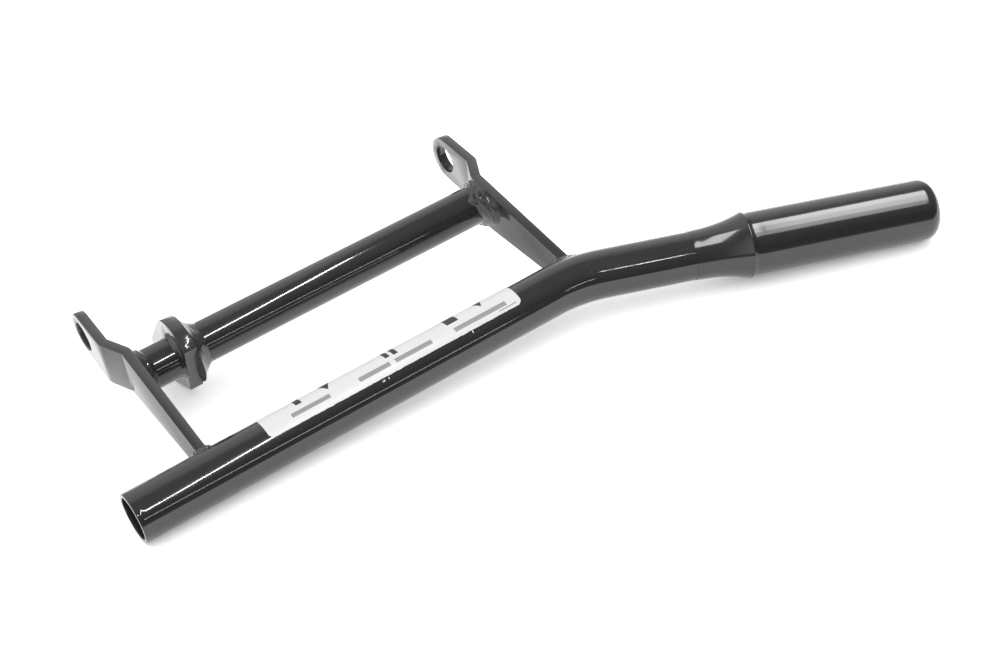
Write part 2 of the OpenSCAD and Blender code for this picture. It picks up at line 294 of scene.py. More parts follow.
# %% Profile of the hand grip
FOOT_WALL = 0.3 * MM
FOOT_FEATHER = 0.14 * MM
FEATHER_SHARPNESS = 12
FLARE_RISE = 4.36 * MM
FLARE_POWER = 2.3
RIDGE_S = 28.9 * MM
RIDGE_R = 17.4 * MM
RIDGE_ROUND = 0.7 * MM
RIDGE_ARC = (109, 62)
FLARE_SHORT = 0.23 * MM
GROOVE_FADE = 1.35 * MM
BODY_START = 37 * MM
BODY_R = 16.63 * MM
END_R = 16.05 * MM
END_ROUND = 7.6 * MM
END_DOME = 1.9 * MM
BORE_AIR = 0.11 * MM


def flare_rows():
    """Thin skin on the tube, feathered at its edge, that rises as a power of the distance."""
    t = np.linspace(0, 1, 44)[:-1]
    end = RIDGE_S - FLARE_SHORT
    foot = FOOT_WALL - FOOT_FEATHER * np.exp(-((FEATHER_SHARPNESS * t) ** 2))
    return np.stack([end * t, LEVER_R + foot + FLARE_RISE * t**FLARE_POWER], -1)


def ridge_rows():
    """A small arc over the ridge, then an exponential fall onto the body."""
    a = np.radians(np.linspace(*RIDGE_ARC, 8))
    s = RIDGE_S + RIDGE_ROUND * np.cos(a)
    arc = np.stack([s, RIDGE_R - RIDGE_ROUND + RIDGE_ROUND * np.sin(a)], -1)
    s = np.linspace(arc[-1, 0], BODY_START, 16)[1:]
    fall = (arc[-1, 1] - BODY_R) * np.exp(-(s - arc[-1, 0]) / GROOVE_FADE)
    return np.concatenate([arc, np.stack([s, BODY_R + fall], -1)])


def end_rows():
    """A straight taper, a quarter circle, and a shallow dome down to the middle line."""
    corner = np.array([GRIP_LENGTH - END_DOME - END_ROUND, END_R])
    t = np.linspace(0, 1, 60)[1:-1, None]
    taper = np.array([BODY_START, BODY_R]) * (1 - t) + corner * t
    a = np.linspace(0, math.pi / 2, 20)
    turned = np.stack([np.sin(a), np.cos(a) - 1], -1) * END_ROUND + corner
    t = np.linspace(1, 0, 12)[1:]
    dome = np.stack([GRIP_LENGTH - END_DOME * t**2, (END_R - END_ROUND) * t], -1)
    return np.concatenate([taper, turned, dome])


def bore_rows():
    """Flat floor of the bore, then its straight wall back to the start."""
    floor = GRIP_LENGTH - GRIP_FLOOR
    wall = LEVER_R + BORE_AIR
    return np.array([[floor, 0], [floor, wall], [0, wall]])


outside = np.concatenate([flare_rows(), ridge_rows(), end_rows()])
print("rows of the grip's outside:", len(outside))

# %% Hand grip
grip_angle = closed(120)
profile = np.concatenate([outside, bore_rows(), outside[:1]])
grip_s = profile[:, :1]
uneven = 0.022 * MM * waves(grip_s / 0.05, 5, 11) * waves(grip_angle, 4, 12)
grip_radius = profile[:, 1:] + uneven * (profile[:, 1:] > 0.9 * LEVER_R)
grip_grid = round_line(corner_run + GRIP_START + grip_s, grip_radius, grip_angle)
grip = finish_piece(skin("hand_grip_skin", grip_grid), "black_vinyl", "hand_grip")

# %% [markdown]
# ## Cross tube
# A thinner tube joins the two arms and carries the lug plate. It gets the same kind of
# skin, out along the outside and back along the bore.

# %% Cross tube
CROSS_R = 10.85 * MM
CROSS_WALL = 2 * MM
CROSS_Y = 82 * MM
LEFT_FACE = 45.2 * MM
RIGHT_FACE = 249 * MM


def cross_round(x, radius, angle):
    """Points at a radius and an angle round the cross tube's middle line. Angle zero points
    away from the lever and a quarter turn points up."""
    points = np.broadcast_arrays(x, CROSS_Y + radius * np.cos(angle), radius * np.sin(angle))
    return np.stack(points, -1)


cross_angle = closed(96)
outer_x = steps(LEFT_FACE, RIGHT_FACE, 1.2 * MM)[:, None]
inner_x = np.linspace(RIGHT_FACE, LEFT_FACE, 12)[:, None]
wavy = 0.013 * MM * waves(outer_x / 0.03, 6, 21) * waves(cross_angle, 3, 22)
outer_skin = cross_round(outer_x, CROSS_R + wavy, cross_angle)
inner_skin = cross_round(inner_x, CROSS_R - CROSS_WALL, cross_angle)
cross_grid = np.concatenate([outer_skin, inner_skin, outer_skin[:1]])
finish_piece(skin("cross_tube_skin", cross_grid), "black_enamel", "cross_tube")

# %% [markdown]
# ## Arms and lug plate
# These are cut from flat steel, and their solids already have the right form. What a solid
# lacks is the small round that paint leaves on a cut edge, which catches the light. A
# merged copy of the solid takes a Bevel modifier for that, and stands for it.

# %% Rounded copies of the flat pieces
EDGE_ROUND = 0.45 * MM
FLAT_ANGLE = math.radians(0.6)


def rounded_copy(node, width):
    """Copy of a solid with its doubles merged, its flat faces joined and its edges rounded."""
    mesh = frame["nodes"][node].data.copy()
    mesh.name = node + "_rounded"
    work = bmesh.new()
    work.from_mesh(mesh)
    bmesh.ops.remove_doubles(work, verts=work.verts, dist=MERGE)
    bmesh.ops.dissolve_limit(work, angle_limit=FLAT_ANGLE, verts=work.verts, edges=work.edges)
    bmesh.ops.recalc_face_normals(work, faces=work.faces)
    work.to_mesh(mesh)
    work.free()
    mesh.polygons.foreach_set("use_smooth", np.ones(len(mesh.polygons), bool))
    piece = bpy.data.objects.new(node + "_rounded", mesh)
    bpy.context.scene.collection.objects.link(piece)
    bevel = piece.modifiers.new("edge round", "BEVEL")
    bevel.width = width
    bevel.segments = 2
    bevel.limit_method = "ANGLE"
    bevel.angle_limit = SHARP
    bevel.harden_normals = True
    return finish_piece(piece, "black_enamel", node)


for node, share in (("left_arm", 1), ("right_arm", 1), ("lug_plate", 1.4)):
    rounded_copy(node, share * EDGE_ROUND)

# %% [markdown]
# ## Weld beads
# A weld bead fills the corner between two surfaces. It could be a plain ring, but a real
# one swells, ripples and spreads unevenly where the torch slowed down. Each bead here is a
# closed loop of sections: a buried corner, a foot on each surface, and an uneven face.

# %% Section of a bead
BURIED = 0.35 * MM
SUNK = 0.05 * MM
FACE_STEPS = 18


def bead(name, foot_a, foot_b, corner, out, swell, ripple, seed):
    """Closed loop of bead sections. The face of a section runs from foot a to foot b as a
    straight line, moved outward by 4 t (1 - t) times the swell and the ripples. Ripples are
    the mean of two sums of sines that run askew over the loop."""
    t = np.linspace(0, 1, FACE_STEPS)[None, :]
    turn = np.linspace(0, 2 * math.pi, len(foot_a))[:, None]
    askew = waves(turn + 2 * t, 10, seed) + waves(turn - 4 * t, 13, seed + 1)
    move = 4 * t * (1 - t) * (swell[:, None] + ripple * askew / 2)
    line = foot_a[:, None] * (1 - t[..., None]) + foot_b[:, None] * t[..., None]
    face = line + move[..., None] * out[:, None]
    grid = np.concatenate([face, corner[:, None], face[:, :1]], axis=1)
    return finish_piece(skin(name + "_bead", grid), "black_enamel", name)


bead_angle = closed(220)
even = np.ones_like(bead_angle)
print("sections in a ring bead:", len(bead_angle) - 1)

# %% [markdown]
# The ring beads go round the cross tube: two where it meets the arms and one on each side
# of the lug plate. Leg is how far a bead runs along the tube, and rise is how far it climbs
# the plate. Each could be one number. At the right end the weld metal ran wide, up the arm
# and along the tube, so leg and rise are values for every angle, with a hump where it did.

# %% Ring beads round the cross tube
LUG_FACE = 64.3 * MM
LUG_BACK = 71.3 * MM


def hump(angle, at, width):
    """Bell-shaped swell of a bead, 1 at the angle it is centred on, in degrees."""
    away = (np.degrees(angle) - at + 180) % 360 - 180
    return np.exp(-((away / width) ** 2))


def ring_bead(name, face, way, leg, rise, swell, ripple, seed):
    """Ring bead at a plate's face, running along the tube the way given, +1 or -1."""
    leg = leg * (1 + 0.10 * waves(bead_angle, 9, seed))
    rise = rise * (1 + 0.07 * waves(bead_angle, 10, seed + 1))
    foot_a = cross_round(face + way * leg, CROSS_R - SUNK, bead_angle)
    foot_b = cross_round(face - way * SUNK, CROSS_R + rise, bead_angle)
    corner = cross_round(face - way * BURIED, CROSS_R - BURIED, bead_angle)
    out = [np.full_like(bead_angle, way), np.cos(bead_angle), np.sin(bead_angle)]
    out = np.stack(out, -1) / math.sqrt(2)
    return bead(name, foot_a, foot_b, corner, out, swell, ripple, seed + 2)


right_leg = (4.5 + 5.0 * hump(bead_angle, 128, 42)) * MM
right_rise = (1.9 + 7.6 * hump(bead_angle, 168, 46)) * MM
right_swell = (0.4 + 0.6 * hump(bead_angle, 130, 40)) * MM
ring_bead("right_end_weld", RIGHT_FACE, -1, right_leg, right_rise, right_swell, 0.85 * MM, 33)
left_leg = (3.6 + 1.6 * hump(bead_angle, 140, 40)) * MM
left_rise = (1.6 + 2.4 * hump(bead_angle, 170, 50)) * MM
ring_bead("left_end_weld", LEFT_FACE, 1, left_leg, left_rise, 0.4 * MM * even, 0.5 * MM, 41)
outer_sizes = [size * MM * even for size in (2.0, 2.4, 0.2)]
inner_sizes = [size * MM * even for size in (7.4, 7.2, -0.7)]
ring_bead("outer_lug_weld", LUG_FACE, -1, *outer_sizes, 0.25 * MM, 51)
ring_bead("inner_lug_weld", LUG_BACK, 1, *inner_sizes, 0.18 * MM, 61)

# %% [markdown]
# The root beads go round the end of each arm, on the lever tube. The arm's end is a
# rectangle, so a ring would miss its corners, and the loop is that rectangle with rounded
# ones. The bead's foot on the tube lies outside it and follows the round of the tube.

# %% Root beads round the arms' ends
ARM_T = 5.4 * MM
ROOT_H = 14.2 * MM
ROOT_CORNER = 1.2 * MM
root_turn = closed(140)


def root_loop(grow):
    """Rounded rectangle of the arm's end in x and z, grown outward: each quarter of the turn
    gives one corner arc, and the straight sides join the arcs."""
    half_x = ARM_T / 2 - ROOT_CORNER
    half_z = ROOT_H / 2 - ROOT_CORNER
    reach = ROOT_CORNER + grow
    side_x = np.clip(np.cos(root_turn) * 3, -1, 1) * half_x
    side_z = np.clip(np.sin(root_turn) * 3, -1, 1) * half_z
    return side_x + reach * np.cos(root_turn), side_z + reach * np.sin(root_turn)


def on_lever(x, z, lift):
    """Points on the lever's side at x and z, lifted toward the arms: the tube's middle line
    there plus the half chord of its round."""
    half_chord = np.sqrt(np.maximum(LEVER_R**2 - z**2, 0))
    return np.stack([x, middle_line(x)[1] + half_chord + lift, z], -1)


def root_bead(name, arm_middle, leg, climb, seed):
    """Bead round the end of an arm. Its foot on the lever lies a leg outside the arm, and its
    foot on the arm climbs by the height given."""
    leg = leg * (1 + 0.15 * waves(root_turn, 13, seed))
    climb = climb * (1 + 0.2 * waves(root_turn, 9, seed + 1))
    out_x, out_z = root_loop(leg)
    arm_x, arm_z = root_loop(-SUNK)
    foot_a = on_lever(arm_middle + out_x, out_z, -SUNK)
    foot_b = on_lever(arm_middle + arm_x, arm_z, climb)
    corner = on_lever(arm_middle + 0.85 * arm_x, 0.85 * arm_z, -BURIED)
    out = np.stack([np.cos(root_turn), np.ones_like(root_turn), np.sin(root_turn)], -1)
    swell = 0.3 * MM * np.ones_like(root_turn)
    return bead(name, foot_a, foot_b, corner, out / math.sqrt(2), swell, 0.5 * MM, seed + 2)


left_root_leg = (2.6 + 1.2 * hump(root_turn, 90, 60)) * MM
right_root_leg = (2.8 + 1.4 * hump(root_turn, 60, 60)) * MM
root_bead("left_root_weld", LEFT_FACE - ARM_T / 2, left_root_leg, 2.4 * MM, 71)
root_bead("right_root_weld", RIGHT_FACE + ARM_T / 2, right_root_leg, 2.6 * MM, 81)

# %% [markdown]
# ## Drops of weld metal
# Small drops flew from the torch, stuck to the tubes and were painted over. Bump could draw
# them, but real ones catch the light from every side. Each is a squashed ball, sunk half way
# into the surface. One grid of a ball is scaled, turned and moved for every drop at once.

# %% Weld spatter
SPATTER_ROWS = 7
SPATTER_COLUMNS = 12
SQUASH = 0.6


def ball_grid():
    """Unit ball from pole to pole, flattened along z by the squash."""
    down = np.linspace(0, math.pi, SPATTER_ROWS)[:, None]
    turn = closed(SPATTER_COLUMNS)
    side = np.sin(down)
    return np.stack([side * np.cos(turn), side * np.sin(turn), SQUASH * np.cos(down) + 0 * turn], -1)


def stuck(feet, outward, sizes):
    """One ball at each foot: z of the ball turns to the outward way there."""
    along = np.cross(outward, [1.0, 0, 0])
    along /= np.linalg.norm(along, axis=-1, keepdims=True)
    turn = np.stack([along, np.cross(outward, along), outward], 1)
    balls = np.einsum("rca,nab->nrcb", ball_grid(), turn)
    return feet[:, None, None] + balls * sizes[:, None, None, None]


print("points in a drop:", ball_grid().size // 3)

# %% Places and sizes of the drops
BEND_DROPS = 22
WELD_DROPS = 20
draw = np.random.default_rng(97)
near_bend = corner_run + draw.uniform(0.004, 0.037, BEND_DROPS)
near_weld = draw.uniform(0.196, 0.240, WELD_DROPS)
bend_way = np.radians(draw.uniform(98, 136, BEND_DROPS))
weld_way = np.radians(draw.uniform(90, 165, WELD_DROPS))
feet = [round_line(near_bend, LEVER_R, bend_way), cross_round(near_weld, CROSS_R, weld_way)]
tips = [round_line(near_bend, LEVER_R + 1, bend_way), cross_round(near_weld, CROSS_R + 1, weld_way)]
feet = np.concatenate(feet)
sizes = draw.uniform(0.2, 0.6, len(feet)) ** 1.4 * MM
drops = stuck(feet, np.concatenate(tips) - feet, sizes)
finish_piece(skin("weld_spatter", drops), "black_enamel")

# %% [markdown]
# ## Label
# The label is a printed film stuck on the top of the lever tube. A copy of the tube's faces
# could be lifted, but its corners are round and its edge is worn. So it is a thin closed
# sheet of its own, with a width that changes along it, laid on the same radius function.

# %% Label film
LABEL_X = 70.2 * MM
LABEL_LENGTH = 144 * MM
LABEL_WIDTH = 25 * MM
LABEL_T = 0.2 * MM
LABEL_SUNK = 0.02 * MM
LABEL_ROUND = 3 * MM
LABEL_COLUMNS = 41
LABEL_EDGE = math.radians(122.8)
label_middle = LABEL_EDGE - LABEL_WIDTH / LEVER_R / 2


def label_half_width(x):
    """Half width of the film at a distance along it: full, less the round of the corner and
    the faint wear of the edge."""
    inset = np.minimum(x, LABEL_LENGTH - x)
    into = np.clip(LABEL_ROUND - inset, 0, LABEL_ROUND)
    worn = 0.10 * MM * waves(x / 0.006, 9, 17) + 0.08 * MM * waves(x / 0.0021, 7, 18)
    return LABEL_WIDTH / 2 - LABEL_ROUND + np.sqrt(LABEL_ROUND**2 - into**2) - worn


corner_x = LABEL_ROUND * (1 - np.cos(np.linspace(0, math.pi / 2, 10)))
straight_x = np.linspace(LABEL_ROUND, LABEL_LENGTH - LABEL_ROUND, 260)[1:-1]
film_x = np.concatenate([corner_x, straight_x, LABEL_LENGTH - corner_x[::-1]])[:, None]
across = np.linspace(-1, 1, LABEL_COLUMNS)
section_across = np.concatenate([across, across[::-1], across[:1]])
section_height = np.repeat([-LABEL_SUNK, LABEL_T, -LABEL_SUNK], [LABEL_COLUMNS, LABEL_COLUMNS, 1])
film_angle = label_middle + label_half_width(film_x) * section_across / LEVER_R
film_height = np.broadcast_to(section_height, film_angle.shape).copy()
film_height[[0, -1]] = LABEL_T / 2
film_radius = lever_radius(LABEL_X + film_x, film_angle) + film_height
film_grid = round_line(LABEL_X + film_x, film_radius, film_angle)
film_v = (film_angle - label_middle) * LEVER_R / LABEL_WIDTH + 0.5
film_uv = np.stack(np.broadcast_arrays(film_x / LABEL_LENGTH, film_v), -1)
finish_piece(skin("label_film", film_grid, film_uv), "white_film", "label")

# %% [markdown]
# ## Materials
# All finishes are made of nodes and read Object coordinates or the piece's own UV map, so
# they stay put on each piece. Node code is long when every link is a line of its own. Small
# helpers keep it short: the first adds a node and wires it, and the others call it.

# %% Helpers for nodes
def wire(tree, kind, inputs=None, **settings):
    """New node in a tree. Settings are its own properties. An input is a socket of another
    node, which gets linked, or a plain value."""
    node = tree.nodes.new(kind)
    for key, value in settings.items():
        setattr(node, key, value)
    for key, value in (inputs or {}).items():
        if isinstance(value, bpy.types.NodeSocket):
            tree.links.new(value, node.inputs[key])
        else:
            node.inputs[key].default_value = value
    return node


def calculate(tree, operation, *values):
    """Output of a Math node."""
    return wire(tree, "ShaderNodeMath", dict(enumerate(values)), operation=operation).outputs[0]


def noise(tree, place, scale, detail):
    """Grey output of a Noise Texture."""
    inputs = {"Vector": place, "Scale": scale, "Detail": detail}
    return wire(tree, "ShaderNodeTexNoise", inputs).outputs["Fac"]


def spread(tree, value, from_low, from_high, low=0.0, high=1.0):
    """Value carried from one range to another, and held at its ends."""
    inputs = {0: value, 1: from_low, 2: from_high, 3: low, 4: high}
    return wire(tree, "ShaderNodeMapRange", inputs).outputs[0]


def mix_colours(tree, mask, colour_a, colour_b):
    """Colour a where the mask is 0, and b where it is 1."""
    inputs = {0: mask, 6: colour_a, 7: colour_b}
    return wire(tree, "ShaderNodeMix", inputs, data_type="RGBA").outputs[2]


print("helpers for nodes:", [wire.__name__, calculate.__name__, noise.__name__, spread.__name__])

# %% [markdown]
# Two more helpers start a material and a node group. A group is a small tree with sockets of
# its own, built once, and placed in any material like a single node.

# %% Helpers for materials and groups
def new_material(name):
    """Material with a plain Principled shader, given as itself, its tree and its shader."""
    material = bpy.data.materials.new(name)
    material.use_nodes = True
    return material, material.node_tree, material.node_tree.nodes["Principled BSDF"]


def new_group(name, inputs, outputs):
    """Shader node group with named sockets, given as its tree and its two end nodes."""
    tree = bpy.data.node_groups.new(name, "ShaderNodeTree")
    for way, sockets in (("INPUT", inputs), ("OUTPUT", outputs)):
        for socket, kind in sockets.items():
            tree.interface.new_socket(socket, in_out=way, socket_type="NodeSocket" + kind)
    return tree, wire(tree, "NodeGroupInput").outputs, wire(tree, "NodeGroupOutput").inputs


print("materials so far:", len(bpy.data.materials), "and groups:", len(bpy.data.node_groups))

# %% [markdown]
# Paint and plastic are uneven in the same ways: dull and shiny patches, a fine skin like the
# peel of an orange, and specks of dust. One group holds these effects, and each material
# places it with its own values. The patches use the noise as it comes. Cut off at a low and
# a high level, it would draw outlines round them.

# %% Uneven finish as a node group
DUST_COLOUR = (0.30, 0.29, 0.27, 1)
SPECK_SCALE = 1100
SPECK_PEAKS = (0.74, 0.80)


def build_uneven():
    """Roughness is the given one times 1 plus the spread times the patch noise less its
    mean. Height is the fine noise. Colour turns toward dust where a third noise peaks."""
    inputs = {"Place": "Vector", "Colour": "Color", "Roughness": "Float", "Spread": "Float"}
    inputs.update({"Patches": "Float", "Grain": "Float", "Dust": "Float"})
    outputs = {"Colour": "Color", "Roughness": "Float", "Height": "Float"}
    tree, given, result = new_group("uneven finish", inputs, outputs)
    patch = calculate(tree, "SUBTRACT", noise(tree, given["Place"], given["Patches"], 3), 0.5)
    factor = calculate(tree, "MULTIPLY_ADD", patch, given["Spread"], 1.0)
    rough = calculate(tree, "MULTIPLY", given["Roughness"], factor)
    specks = spread(tree, noise(tree, given["Place"], SPECK_SCALE, 1), *SPECK_PEAKS)
    dust = calculate(tree, "MULTIPLY", specks, given["Dust"])
    colour = mix_colours(tree, dust, given["Colour"], DUST_COLOUR)
    tree.links.new(colour, result["Colour"])
    tree.links.new(rough, result["Roughness"])
    tree.links.new(noise(tree, given["Place"], given["Grain"], 2), result["Height"])
    return tree


uneven_finish = build_uneven()
print("nodes in the uneven finish:", len(uneven_finish.nodes))

# %% [markdown]
# The tubes and the flat bars carry black enamel. It is thick and glossy on the tubes, and a
# touch duller on the flat bars, where it went over rolled steel. The sleeve is soft black
# plastic with a silky shine. One layer of gloss could do, but it reflects too little. All
# three are a dark base under a clear coat, which adds a sharper reflection to the base's own.

# %% Black enamel and black vinyl
PEEL_DEPTH = 0.05 * MM
ENAMEL = {"Spread": 1.2, "Patches": 60, "Grain": 900, "Dust": 0.2}
VINYL = {"Spread": 0.8, "Patches": 45, "Grain": 1300, "Dust": 0.3}


def black_finish(name, colour, rough, coat_rough, values, peel):
    """Principled shader whose colour, roughness and bump come from the uneven finish."""
    material, tree, shader = new_material(name)
    place = wire(tree, "ShaderNodeTexCoord").outputs["Object"]
    inputs = {"Place": place, "Colour": (*colour, 1), "Roughness": rough, **values}
    group = wire(tree, "ShaderNodeGroup", inputs, node_tree=uneven_finish)
    inputs = {"Strength": peel, "Distance": PEEL_DEPTH, "Height": group.outputs["Height"]}
    bump = wire(tree, "ShaderNodeBump", inputs)
    tree.links.new(group.outputs["Colour"], shader.inputs["Base Color"])
    tree.links.new(group.outputs["Roughness"], shader.inputs["Roughness"])
    tree.links.new(bump.outputs["Normal"], shader.inputs["Normal"])
    shader.inputs["Coat Weight"].default_value = 1
    shader.inputs["Coat Roughness"].default_value = coat_rough
    print(name, "roughness:", rough, "and of the coat:", coat_rough)
    return material


tube_paint = black_finish("tube enamel", (0.025, 0.0255, 0.028), 0.11, 0.03, ENAMEL, 0.15)
flat_paint = black_finish("flat bar enamel", (0.038, 0.038, 0.037), 0.2, 0.06, ENAMEL, 0.25)
grip_vinyl = black_finish("grip vinyl", (0.022, 0.0225, 0.024), 0.17, 0.07, VINYL, 0.25)

# %% [markdown]
# The film is white, with plain fields printed on it: a row of grey bars near its front edge
# and a few small dark shapes above them. A picture of the print would need an image file.
# Each field is a sum on the UV map instead, one small group placed once for each field.

# %% Printed field as a node group
PRINT_SOFT = 0.06


def build_field():
    """Mask of a field in mm: 1 inside, 0 outside. It is the smaller of half the width less
    the distance across and half the height less the distance up, over a soft edge. Taper
    takes the width down to nothing over the height."""
    inputs = {"Place": "Vector", "Middle": "Vector", "Half": "Vector", "Taper": "Float"}
    tree, given, result = new_group("printed field", inputs, {"Mask": "Float"})
    inputs = {0: given["Place"], 1: given["Middle"]}
    away = wire(tree, "ShaderNodeVectorMath", inputs, operation="SUBTRACT").outputs[0]
    away = wire(tree, "ShaderNodeSeparateXYZ", {0: away}).outputs
    half = wire(tree, "ShaderNodeSeparateXYZ", {0: given["Half"]}).outputs
    share = calculate(tree, "DIVIDE", away[1], half[1])
    share = calculate(tree, "MULTIPLY_ADD", share, 0.5, 0.5)
    narrow = calculate(tree, "MULTIPLY", calculate(tree, "MULTIPLY", share, given["Taper"]), half[0])
    wide = calculate(tree, "SUBTRACT", half[0], narrow)
    left_over = calculate(tree, "SUBTRACT", wide, calculate(tree, "ABSOLUTE", away[0]))
    over = calculate(tree, "SUBTRACT", half[1], calculate(tree, "ABSOLUTE", away[1]))
    smaller = calculate(tree, "MINIMUM", left_over, over)
    tree.links.new(spread(tree, smaller, -PRINT_SOFT, PRINT_SOFT), result["Mask"])
    return tree


printed_field = build_field()
print("nodes in the printed field:", len(printed_field.nodes))

# %% [markdown]
# A field is given by its start and end along the tube in mm, its low and high angle round the
# tube in degrees, and its taper. The angles say where it sits on the tube, so the film could
# be moved and the print would stay. The bars and the dark shapes are two colours of ink.

# %% Fields of the print
DARK_FIELDS = [
    (89.4, 92.8, 50, 79, 0), (103.4, 110.4, 50, 82, 1), (139, 141.6, 43, 82, 0),
    (143.4, 146, 43, 84, 0), (174.7, 181.5, 50, 83, 0), (192.9, 198.5, 50, 80, 1),
]
GREY_FIELDS = [
    (84.5, 105.5, 94.5, 105, 0), (121.5, 139, 95, 106.5, 0), (142, 163, 95.5, 107, 0),
    (176, 206.5, 98.5, 110, 0), (201, 211.5, 113.6, 116, 0),
]
DARK_INK = (0.035, 0.035, 0.036, 1)
GREY_INK = (0.36, 0.36, 0.36, 1)
film_paint, tree, shader = new_material("label film")
uv = wire(tree, "ShaderNodeUVMap", uv_map="UVMap").outputs["UV"]
inputs = {0: uv, 1: (LABEL_LENGTH / MM, LABEL_WIDTH / MM, 0)}
film_place = wire(tree, "ShaderNodeVectorMath", inputs, operation="MULTIPLY").outputs[0]


def printed(fields):
    """Mask of all the fields given: the largest of their masks at each place."""
    mask = 0.0
    for start, end, low, high, taper in fields:
        turn = (math.radians((low + high) / 2) - label_middle) * LEVER_R + LABEL_WIDTH / 2
        middle = ((start + end) / 2 - LABEL_X / MM, turn / MM, 0)
        half = ((end - start) / 2, math.radians(high - low) / 2 * LEVER_R / MM, 0)
        inputs = {"Place": film_place, "Middle": middle, "Half": half, "Taper": taper}
        field = wire(tree, "ShaderNodeGroup", inputs, node_tree=printed_field)
        mask = calculate(tree, "MAXIMUM", mask, field.outputs["Mask"])
    return mask


print("printed fields:", len(DARK_FIELDS) + len(GREY_FIELDS))

# %% White film
FILM_WHITE = (0.87, 0.87, 0.855, 1)
FILM = {"Roughness": 0.33, "Spread": 0.8, "Patches": 70, "Grain": 700, "Dust": 0.3}
place = wire(tree, "ShaderNodeTexCoord").outputs["Object"]
inputs = {"Place": place, "Colour": FILM_WHITE, **FILM}
group = wire(tree, "ShaderNodeGroup", inputs, node_tree=uneven_finish)
colour = mix_colours(tree, printed(GREY_FIELDS), group.outputs["Colour"], GREY_INK)
colour = mix_colours(tree, printed(DARK_FIELDS), colour, DARK_INK)
tree.links.new(colour, shader.inputs["Base Color"])
tree.links.new(group.outputs["Roughness"], shader.inputs["Roughness"])
inputs = {"Strength": 0.15, "Distance": 0.03 * MM, "Height": group.outputs["Height"]}
tree.links.new(wire(tree, "ShaderNodeBump", inputs).outputs["Normal"], shader.inputs["Normal"])
print("nodes in the film:", len(tree.nodes))

# %% [markdown]
# Each piece now gets its finish. It could be given where the piece is made, but then the
# materials would have to come first. The start of a piece's name tells which one it wears,
# and all that isn't named here is tube or weld and wears the tube enamel.

# %% Dress the pieces
FINISHES = {"hand_grip": grip_vinyl, "label": film_paint, "left_arm": flat_paint}
FINISHES.update({"right_arm": flat_paint, "lug_plate": flat_paint})
for piece in list(bpy.context.scene.objects):
    if piece.type == "MESH" and not piece.hide_render:
        kinds = [finish for start, finish in FINISHES.items() if piece.name.startswith(start)]
        piece.data.materials.clear()
        piece.data.materials.append(kinds[0] if kinds else tube_paint)
        print(piece.name, "wears", piece.data.materials[0].name)

# %% [markdown]
# ## Camera
# The camera stands where the photographer stood: half a metre above the table, looking down
# at about 36 degrees, with the handle running away to the right. Its place, lens and roll
# could be judged by eye. Here they come from a fit: they are what makes the tube's width and
# the handle's outline fall where they do in the photograph.

# %% Camera
CAMERA_PLACE = Vector((-0.3403, -0.6053, 0.4894))
CAMERA_AIM = Vector((-0.0051, -0.0095, 0))
CAMERA_ROLL = math.radians(-8.95)
CAMERA_LENS = 58.89
camera_data = bpy.data.cameras.new("camera")
camera_data.lens = CAMERA_LENS
camera = bpy.data.objects.new("camera", camera_data)
bpy.context.scene.collection.objects.link(camera)
bpy.context.scene.camera = camera
aim = (CAMERA_AIM - CAMERA_PLACE).to_track_quat("-Z", "Y").to_matrix()
turned = aim @ Matrix.Rotation(CAMERA_ROLL, 3, "Z")
camera.matrix_world = Matrix.Translation(CAMERA_PLACE) @ turned.to_4x4()
look_down = math.asin((CAMERA_PLACE - CAMERA_AIM).normalized().z)
print("camera looks down by, in degrees:", round(math.degrees(look_down), 1))

# %% [markdown]
# ## Lamps
# Glossy black shows its surroundings more than its own colour. A small product is lit by long
# narrow lamps, and each lamp draws a thin bright line along the tubes. One big soft lamp would
# draw a wide band instead. The lamps only show in the gloss: even light comes from the world.

# %% Strip lamps
AIM_AT = Vector((-0.03, 0, 0.02))


def strip_lamp(name, start, end, width, radiance):
    """Narrow rectangular lamp from start to end that faces the handle. Its power in watts is
    its radiance times its area times pi."""
    start, end = Vector(start), Vector(end)
    data = bpy.data.lights.new(name, "AREA")
    data.shape = "RECTANGLE"
    data.size = (end - start).length
    data.size_y = width
    data.energy = radiance * data.size * width * math.pi
    lamp = bpy.data.objects.new(name, data)
    bpy.context.scene.collection.objects.link(lamp)
    middle = (start + end) / 2
    along = (end - start).normalized()
    back = middle - AIM_AT
    back = (back - back.dot(along) * along).normalized()
    turn = Matrix((along, back.cross(along), back)).transposed()
    lamp.matrix_world = Matrix.Translation(middle) @ turn.to_4x4()
    lamp.visible_diffuse = False
    lamp.visible_camera = False
    print(name, "length in mm:", round(data.size / MM))
    return lamp


long_strip = strip_lamp("long strip", (-0.145, -0.56, 0.5), (0.088, -0.018, 0.5), 0.014, 48)
front_strip = strip_lamp("front strip", (-0.13, -1.5, 1.36), (-0.016, -1.5, 1.34), 0.03, 60)
low_strip = strip_lamp("low strip", (-0.02, -1.5, 0.445), (0.60, -1.5, 0.287), 0.03, 9)
wide_far = strip_lamp("wide strip, far part", (0.441, -0.233, 0.8), (0.530, 0.020, 0.8), 0.22, 7.5)
wide_middle = strip_lamp("wide strip, middle", (0.351, -0.487, 0.8), (0.441, -0.233, 0.8), 0.22, 6)
wide_near = strip_lamp("wide strip, near part", (0.262, -0.740, 0.8), (0.351, -0.487, 0.8), 0.22, 3.2)
flare_strip = strip_lamp("flare strip", (0.08, -0.43, 0.8), (0.136, 0.076, 0.8), 0.22, 6)

# %% [markdown]
# The sleeve shows one wide band that fades toward the front, and the tubes show thin lines.
# One set of lamps can't draw both. So the wide strips are linked to the sleeve alone, as a
# reflector held near it would be, and the narrow ones to the painted steel and its label.

